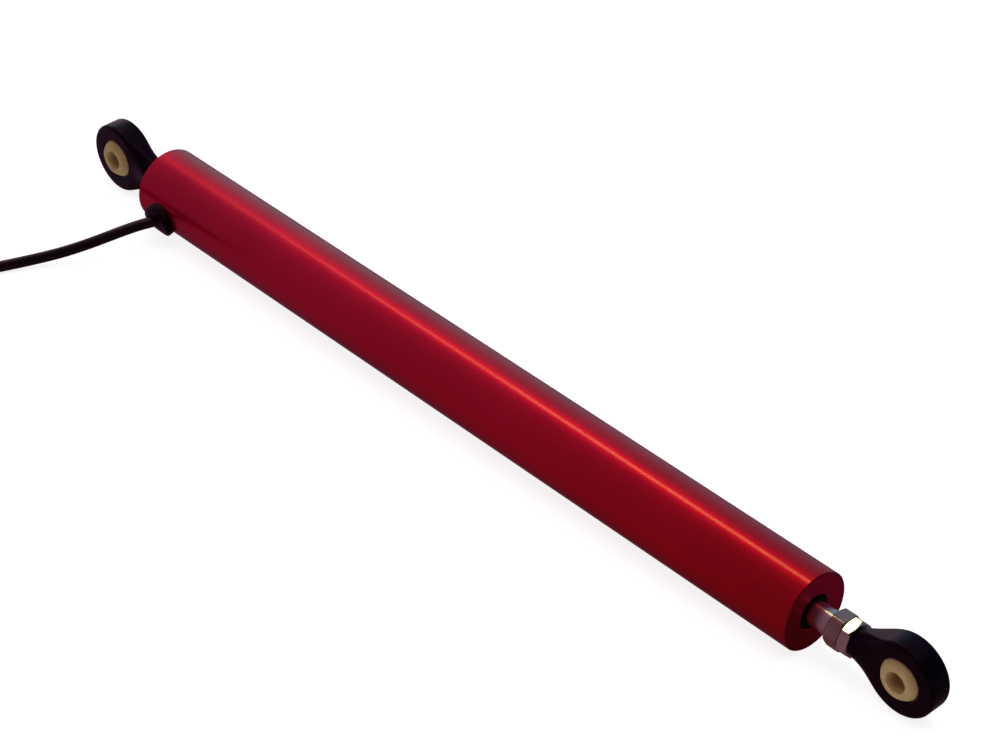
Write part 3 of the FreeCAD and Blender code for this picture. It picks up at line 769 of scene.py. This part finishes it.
# red anodised aluminium: satin metal under a clear oxide layer, with faint
# drawing lines along the tube and a fine etched grain
def anodised(name, dark, light, rough, coat, coat_rough, rim=None, turned=False, painted_shade_colour=None):
    m, nt, b = material(name)
    put(b, Metallic=1.0, Coat_Weight=coat, Coat_Roughness=coat_rough, Coat_IOR=1.3,
        Specular_Tint=(0.35, 0.35, 0.42, 1.0))
    drawn = noise(nt, (18.0, 1500.0, 1500.0), 3.0, 0.6)
    cloud = noise(nt, 45.0, 2.0, 0.5)
    grain = noise(nt, 5200.0, 2.0, 0.6)
    tone = add(nt, add(nt, drawn, 0.35, "MULTIPLY"), add(nt, cloud, 0.65, "MULTIPLY"))
    colour = ramp(nt, tone, [(0.30, dark), (0.70, light)])
    if rim is not None:
        # painted light and shade along the tube: the colour goes from crimson at the rear
        # to a darker, plainer red at the front; the cut end is painted darker, as painted shade
        tc = nt.nodes.new("ShaderNodeTexCoord")
        sep = nt.nodes.new("ShaderNodeSeparateXYZ")
        nt.links.new(tc.outputs["Object"], sep.inputs["Vector"])
        painted_light_ramp = ramp(nt, spread(nt, sep.outputs["X"], 0.0, 1.0, REAR * MM, (REAR + 220.0) * MM),
                   [(0.05, (0.96, 1.0, 1.0)), (0.30, (1.0, 1.0, 1.0)), (0.50, (1.0, 0.85, 0.84)),
                    (0.68, (0.97, 0.76, 0.74)), (0.86, (0.90, 0.45, 0.48)), (0.98, (0.80, 0.28, 0.30))])
        mul = nt.nodes.new("ShaderNodeMix")
        mul.data_type = "RGBA"
        mul.blend_type = "MULTIPLY"
        mul.inputs[0].default_value = 1.0
        nt.links.new(colour, mul.inputs[6])
        nt.links.new(painted_light_ramp, mul.inputs[7])
        colour = mul.outputs[2]
        # painted shade: the cut end of the tube takes the darker rim colour
        painted_shade_end = spread(nt, sep.outputs["X"], 0.0, 1.0, (REAR + 219.62) * MM, (REAR + 219.82) * MM)
        mix = nt.nodes.new("ShaderNodeMix")
        mix.data_type = "RGBA"
        mix.inputs[7].default_value = (*rim, 1.0)
        nt.links.new(painted_shade_end, mix.inputs[0])
        nt.links.new(colour, mix.inputs[6])
        colour = mix.outputs[2]
    if painted_shade_colour is not None:
        # painted shade: the turned face is darker and browner towards its lower left (-Y, -Z)
        tc = nt.nodes.new("ShaderNodeTexCoord")
        sep = nt.nodes.new("ShaderNodeSeparateXYZ")
        nt.links.new(tc.outputs["Object"], sep.inputs["Vector"])
        painted_shade_across = spread(nt, add(nt, sep.outputs["Y"], sep.outputs["Z"]), 0.0, 1.0, (AXIS_Z - 8.5) * MM, (AXIS_Z + 8.5) * MM)
        mul = nt.nodes.new("ShaderNodeMix")
        mul.data_type = "RGBA"
        mul.blend_type = "MULTIPLY"
        mul.inputs[0].default_value = 1.0
        nt.links.new(colour, mul.inputs[6])
        nt.links.new(ramp(nt, painted_shade_across, [(0.0, painted_shade_colour), (1.0, (1.0, 1.0, 1.0))]), mul.inputs[7])
        colour = mul.outputs[2]
    nt.links.new(colour, b.inputs["Base Color"])
    lines = radial(nt, 5200.0) if turned else drawn
    mix = add(nt, add(nt, lines, 0.6, "MULTIPLY"), add(nt, cloud, 0.4, "MULTIPLY"))
    nt.links.new(spread(nt, mix, rough - 0.04, rough + 0.05), b.inputs["Roughness"])
    first = bump(nt, b, lines, 0.35 if turned else 0.16, 0.00002)
    bump(nt, b, grain, 0.12, 0.00001, first)
    return m


# ground and chromed steel: fine marks round the rod
def steel(name, dark, light, rough, scale, strength=0.2, uneven=1.0):
    m, nt, b = material(name)
    put(b, Metallic=1.0)
    lines = noise(nt, scale, 3.0, 0.6)
    cloud = noise(nt, 260.0, 3.0, 0.55)
    tone = add(nt, add(nt, lines, 0.4, "MULTIPLY"), add(nt, cloud, 0.6, "MULTIPLY"))
    nt.links.new(ramp(nt, tone, [(0.32, dark), (0.68, light)]), b.inputs["Base Color"])
    nt.links.new(spread(nt, tone, rough - 0.05 * uneven, rough + 0.07 * uneven), b.inputs["Roughness"])
    bump(nt, b, lines, strength, 0.00001)
    return m


# moulded polymer or rubber: fine grain from the mould, softly uneven gloss
def moulded(name, dark, light, rough, spec, grain=4200.0, strength=0.18, sub=0.0, sheen=None):
    m, nt, b = material(name)
    put(b, Specular_IOR_Level=spec)
    if sheen is not None:
        put(b, Specular_Tint=(*sheen, 1.0))
    if sub > 0.0:
        put(b, Subsurface_Weight=sub, Subsurface_Radius=(1.0, 0.7, 0.4), Subsurface_Scale=0.0010)
    fine = noise(nt, grain, 2.0, 0.6)
    cloud = noise(nt, 220.0, 3.0, 0.5)
    tone = add(nt, add(nt, fine, 0.3, "MULTIPLY"), add(nt, cloud, 0.7, "MULTIPLY"))
    nt.links.new(ramp(nt, tone, [(0.30, dark), (0.70, light)]), b.inputs["Base Color"])
    nt.links.new(spread(nt, tone, rough - 0.05, rough + 0.07), b.inputs["Roughness"])
    bump(nt, b, fine, strength, 0.00003)
    return m


# enamelled wire laid turn by turn
def wound(name, dark, light):
    m, nt, b = material(name)
    put(b, Metallic=0.9, Coat_Weight=0.6, Coat_Roughness=0.15)
    wave = nt.nodes.new("ShaderNodeTexWave")
    wave.bands_direction = "X"
    wave.inputs["Scale"].default_value = 1.0
    wave.inputs["Distortion"].default_value = 0.6
    nt.links.new(coords(nt, (1600.0, 40.0, 40.0)), wave.inputs["Vector"])
    nt.links.new(ramp(nt, wave.outputs["Fac"], [(0.1, dark), (0.9, light)]), b.inputs["Base Color"])
    nt.links.new(spread(nt, wave.outputs["Fac"], 0.22, 0.38, 0.0, 1.0), b.inputs["Roughness"])
    bump(nt, b, wave.outputs["Fac"], 0.6, 0.0001)
    return m


# solder resist over copper tracks
def board(name):
    m, nt, b = material(name)
    put(b, Specular_IOR_Level=0.5)
    brick = nt.nodes.new("ShaderNodeTexBrick")
    brick.inputs["Scale"].default_value = 1.0
    brick.inputs["Mortar Size"].default_value = 0.06
    brick.inputs["Color1"].default_value = (0.010, 0.090, 0.032, 1.0)
    brick.inputs["Color2"].default_value = (0.012, 0.105, 0.038, 1.0)
    brick.inputs["Mortar"].default_value = (0.030, 0.190, 0.070, 1.0)
    nt.links.new(coords(nt, (220.0, 420.0, 1.0)), brick.inputs["Vector"])
    nt.links.new(brick.outputs["Color"], b.inputs["Base Color"])
    nt.links.new(spread(nt, noise(nt, 900.0), 0.25, 0.42), b.inputs["Roughness"])
    bump(nt, b, brick.outputs["Fac"], 0.3, 0.00003)
    return m


MAT = {
    # anodised_red's colour ramp along the tube is painted light and shade; its last colour is painted shade for the
    # tube's cut end
    "anodised_red": anodised("anodised_red", (0.67, 0.0018, 0.037), (0.81, 0.0034, 0.050), 0.37, 1.0, 0.13, (0.42, 0.002, 0.016)),
    # cap_red's last colour is painted shade, darkening the face towards its lower left
    "cap_red": anodised("cap_red", (0.68, 0.012, 0.085), (0.84, 0.020, 0.115), 0.40, 0.4, 0.25, None, True, (0.50, 0.08, 0.06)),
    "rod_steel": steel("rod_steel", (0.50, 0.47, 0.45), (0.68, 0.64, 0.62), 0.23, (4200.0, 120.0, 120.0), 0.05, 0.25),
    "hex_steel": steel("hex_steel", (0.30, 0.25, 0.19), (0.44, 0.37, 0.28), 0.20, (4200.0, 120.0, 120.0), 0.15),
    "nut_steel": steel("nut_steel", (0.46, 0.45, 0.45), (0.62, 0.61, 0.60), 0.12, (240.0, 900.0, 2400.0), 0.18),
    "ring_steel": steel("ring_steel", (0.30, 0.30, 0.31), (0.45, 0.45, 0.46), 0.32, (900.0, 300.0, 300.0)),
    "core_iron": steel("core_iron", (0.16, 0.16, 0.17), (0.26, 0.25, 0.25), 0.42, (2600.0, 150.0, 150.0)),
    "shield_metal": steel("shield_metal", (0.42, 0.41, 0.39), (0.58, 0.57, 0.55), 0.30, (60.0, 900.0, 900.0)),
    "tinned_metal": steel("tinned_metal", (0.55, 0.55, 0.55), (0.75, 0.75, 0.74), 0.30, (700.0, 700.0, 700.0)),
    "seal_rubber": moulded("seal_rubber", (0.0015, 0.0012, 0.0015), (0.004, 0.003, 0.004), 0.60, 0.07, 5200.0),
    "bumper_rubber": moulded("bumper_rubber", (0.05, 0.016, 0.012), (0.08, 0.028, 0.022), 0.62, 0.25, 3600.0),
    "grommet_rubber": moulded("grommet_rubber", (0.0008, 0.0003, 0.0010), (0.002, 0.0008, 0.0025), 0.34, 0.13, 4800.0, 0.2, 0.0, (1.0, 0.55, 1.0)),
    "eye_polymer": moulded("eye_polymer", (0.0002, 0.0001, 0.0004), (0.0006, 0.0003, 0.0010), 0.27, 0.13, 4200.0, 0.2, 0.0, (0.95, 0.55, 1.0)),
    "ball_polymer": moulded("ball_polymer", (0.33, 0.228, 0.094), (0.42, 0.296, 0.128), 0.45, 0.30, 3800.0, 0.15, 0.35),
    "bearing_polymer": moulded("bearing_polymer", (0.11, 0.11, 0.10), (0.16, 0.155, 0.14), 0.40, 0.4),
    "former_polymer": moulded("former_polymer", (0.46, 0.42, 0.33), (0.56, 0.52, 0.42), 0.45, 0.4),
    "chip_black": moulded("chip_black", (0.008, 0.008, 0.009), (0.018, 0.018, 0.019), 0.55, 0.35, 7000.0),
    "capacitor_tan": moulded("capacitor_tan", (0.36, 0.22, 0.11), (0.46, 0.30, 0.17), 0.42, 0.5, 5000.0),
    "core_white": moulded("core_white", (0.70, 0.69, 0.66), (0.80, 0.79, 0.76), 0.38, 0.4, 3000.0, 0.1, 0.1),
    "core_blue": moulded("core_blue", (0.010, 0.050, 0.30), (0.016, 0.075, 0.42), 0.36, 0.4, 3000.0, 0.1),
    "core_red": moulded("core_red", (0.40, 0.012, 0.012), (0.52, 0.022, 0.020), 0.36, 0.4, 3000.0, 0.1),
    "cable_jacket": moulded("cable_jacket", (0.0004, 0.0002, 0.0004), (0.0014, 0.0006, 0.0011), 0.31, 0.60, 3600.0, 0.2, 0.0, (0.58, 0.34, 0.50)),
    "tie_nylon": moulded("tie_nylon", (0.008, 0.008, 0.009), (0.016, 0.016, 0.018), 0.40, 0.4, 4000.0, 0.12),
    "copper_wire": wound("copper_wire", (0.42, 0.13, 0.06), (0.72, 0.30, 0.17)),
    "board_green": board("board_green"),
}


def dress(ob, mat):
    ob.data.materials.clear()
    ob.data.materials.append(MAT[mat])


# CAD pieces keep their shape and take the finish of their slot
for node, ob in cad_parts.items():
    slots = [m.name.split(".")[0] for m in ob.data.materials if m]
    name = slots[0] if slots else "seal_rubber"
    if node in ("front_end_cap", "rear_end_cap"):
        name = "cap_red"
    dress(ob, name)


def stand_in(ob, body, node, slot):
    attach(ob, body)
    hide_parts(node)
    dress(ob, slot)


stand_in(tube, "housing", "body_tube", "anodised_red")
stand_in(rod, "push_rod", "push_rod", "rod_steel")
stand_in(front_eye, "push_rod", "front_rod_eye", "eye_polymer")
stand_in(rear_eye, "housing", "rear_rod_eye", "eye_polymer")
stand_in(front_ball, "front_ball", "front_eye_ball", "ball_polymer")
stand_in(rear_ball, "rear_ball", "rear_eye_ball", "ball_polymer")
stand_in(front_nut, "push_rod", "front_lock_nut", "nut_steel")
stand_in(rear_nut, "housing", "rear_lock_nut", "nut_steel")
stand_in(hex_end, "push_rod", "rod_end_hex", "rod_steel")
dress(hex_end, "hex_steel")
stand_in(grommet, "housing", "cable_grommet", "grommet_rubber")
stand_in(wiper, "housing", "rod_wiper", "seal_rubber")
stand_in(tie, "housing", "cable_tie", "tie_nylon")
for node, ob in core_objects.items():
    stand_in(ob, "housing", node, node.replace("lead_", ""))
stand_in(tips, "housing", "lead_tips", "tinned_metal")
dress(cable, "cable_jacket")


# ------------------------------------------------------------ floor and light
bpy.ops.mesh.primitive_grid_add(x_subdivisions=8, y_subdivisions=8, size=16.0, location=(0, 0, 0))
floor = bpy.context.object
floor.name = "floor"
floor_mat, nt, b = material("floor_paper")
put(b, Roughness=0.9, Specular_IOR_Level=0.1, Emission_Color=(1.0, 1.0, 1.0, 1.0), Emission_Strength=0.86)
nt.links.new(ramp(nt, noise(nt, 9.0), [(0.3, (0.30, 0.30, 0.30)), (0.7, (0.32, 0.32, 0.32))]), b.inputs["Base Color"])
floor.data.materials.append(floor_mat)
floor.visible_glossy = False

world = bpy.data.worlds.new("studio")
scene.world = world
world.use_nodes = True
wt = world.node_tree
tc = wt.nodes.new("ShaderNodeTexCoord")
sep = wt.nodes.new("ShaderNodeSeparateXYZ")
wt.links.new(tc.outputs["Generated"], sep.inputs["Vector"])
# the room goes round the tube: below, in front, overhead, behind. It is cooler
# and purple towards the tube's rear, plainer and redder towards the front
round_x = spread(wt, add(wt, sep.outputs["Z"], add(wt, sep.outputs["Y"], -1.0, "MULTIPLY"), "ARCTAN2"),
                 0.0, 1.0, -math.pi, math.pi)
rear_room = ramp(wt, round_x, [
    (0.0, (0.33, 0.56, 0.61)), (0.056, (0.24, 0.20, 0.26)), (0.139, (0.19, 0.08, 0.12)),
    (0.25, (0.16, 0.04, 0.09)), (0.342, (0.215, 0.066, 0.15)), (0.431, (0.222, 0.09, 0.175)),
    (0.539, (0.22, 0.14, 0.23)), (0.636, (0.262, 0.18, 0.285)), (0.733, (0.29, 0.215, 0.315)),
    (0.82, (0.31, 0.45, 0.44)), (0.883, (0.31, 0.60, 0.64)), (0.931, (0.33, 0.64, 0.70)),
    (1.0, (0.33, 0.56, 0.61))])
front_room = ramp(wt, round_x, [
    (0.0, (0.29, 0.29, 0.46)), (0.056, (0.22, 0.16, 0.22)), (0.139, (0.17, 0.05, 0.08)),
    (0.25, (0.145, 0.02, 0.03)), (0.342, (0.20, 0.036, 0.046)), (0.431, (0.24, 0.066, 0.075)),
    (0.539, (0.22, 0.088, 0.13)), (0.636, (0.25, 0.105, 0.165)), (0.733, (0.295, 0.11, 0.20)),
    (0.82, (0.265, 0.19, 0.34)), (0.883, (0.265, 0.24, 0.42)), (0.931, (0.29, 0.30, 0.50)),
    (1.0, (0.29, 0.29, 0.46))])
far_room = ramp(wt, round_x, [
    (0.0, (0.66, 0.48, 0.60)), (0.056, (0.40, 0.28, 0.38)), (0.139, (0.24, 0.12, 0.18)),
    (0.25, (0.26, 0.12, 0.22)), (0.342, (0.40, 0.22, 0.38)), (0.431, (0.36, 0.20, 0.34)),
    (0.539, (0.28, 0.18, 0.28)), (0.636, (0.28, 0.20, 0.30)), (0.733, (0.36, 0.28, 0.38)),
    (0.82, (0.66, 0.50, 0.63)), (0.883, (0.84, 0.62, 0.79)), (0.931, (0.84, 0.62, 0.79)),
    (1.0, (0.66, 0.48, 0.60))])

end_room = ramp(wt, round_x, [
    (0.0, (0.29, 0.29, 0.46)), (0.056, (0.22, 0.16, 0.22)), (0.139, (0.17, 0.08, 0.10)),
    (0.25, (0.16, 0.07, 0.09)), (0.342, (0.20, 0.09, 0.12)), (0.431, (0.25, 0.14, 0.15)),
    (0.539, (0.22, 0.12, 0.17)), (0.636, (0.25, 0.12, 0.17)), (0.733, (0.295, 0.13, 0.20)),
    (0.82, (0.265, 0.19, 0.34)), (0.883, (0.265, 0.24, 0.42)), (0.931, (0.29, 0.30, 0.50)),
    (1.0, (0.29, 0.29, 0.46))])


def mixed(fac, a, b):
    node = wt.nodes.new("ShaderNodeMix")
    node.data_type = "RGBA"
    wt.links.new(fac, node.inputs[0])
    wt.links.new(a, node.inputs[6])
    wt.links.new(b, node.inputs[7])
    return node.outputs[2]


room = mixed(spread(wt, sep.outputs["X"], 0.0, 1.0, -0.66, -0.45), rear_room, front_room)
room = mixed(spread(wt, sep.outputs["X"], 0.0, 1.0, -0.76, -0.69), far_room, room)
room = mixed(spread(wt, sep.outputs["X"], 0.0, 1.0, -0.467, -0.447), room, end_room)
wt.links.new(room, wt.nodes["Background"].inputs["Color"])
# it is darker beyond the rod's end, on the far side
beyond = add(wt, spread(wt, sep.outputs["X"], 0.0, 1.0, -0.04, 0.40), spread(wt, sep.outputs["Y"], 0.0, 1.0, 0.05, 0.35), "MULTIPLY")
# and above it
above = add(wt, spread(wt, sep.outputs["X"], 0.0, 1.0, 0.20, 0.50), spread(wt, sep.outputs["Z"], 0.0, 1.0, -0.05, 0.25), "MULTIPLY")
strength = add(wt, spread(wt, beyond, 1.0, 0.54, 0.0, 1.0), spread(wt, above, 1.0, 0.40, 0.0, 1.0), "MULTIPLY")
wt.links.new(strength, wt.nodes["Background"].inputs["Strength"])


def area_light(name, place, target, size, power, colour, glossy=True):
    data = bpy.data.lights.new(name, "AREA")
    data.shape = "RECTANGLE"
    data.size, data.size_y = size
    data.energy = power
    data.color = colour
    ob = bpy.data.objects.new(name, data)
    scene.collection.objects.link(ob)
    p, t = Vector(place), Vector(target)
    z = (p - t).normalized()
    x = Vector((1.0, 0.0, 0.0))
    x = (x - z * x.dot(z)).normalized()
    y = z.cross(x)
    ob.matrix_world = Matrix((
        (x.x, y.x, z.x, p.x), (x.y, y.y, z.y, p.y), (x.z, y.z, z.z, p.z), (0.0, 0.0, 0.0, 1.0)))
    ob.visible_camera = False
    ob.visible_glossy = glossy
    return ob


# a long warm strip nearly overhead, in lengths that fade towards its ends, and a
# broad soft light for the floor
D, WIDE = 1.6, 0.20
a = math.radians(16.9)
for k, (x0, x1, bright) in enumerate(((-1.70, -1.46, 0.2), (-1.46, -1.28, 1.2), (-1.28, -1.10, 2.7), (-1.10, -0.62, 5.5),
                                         (-0.62, 0.0, 1.5), (0.0, 0.62, 2.4), (0.62, 1.10, 2.0), (1.10, 1.70, 1.2))):
    mid = (x0 + x1) / 2.0
    area_light("strip_%d" % k, (mid, D * math.sin(a), D * math.cos(a)), (mid, 0.0, 0.0), (x1 - x0, WIDE),
               bright * math.pi * (x1 - x0) * WIDE, (1.0, 0.86, 0.36))
area_light("soft_overhead", (0.0, 0.3, 2.6), (0.0, 0.0, 0.0), (3.2, 3.2), 62.0, (1.0, 1.0, 1.0), False)
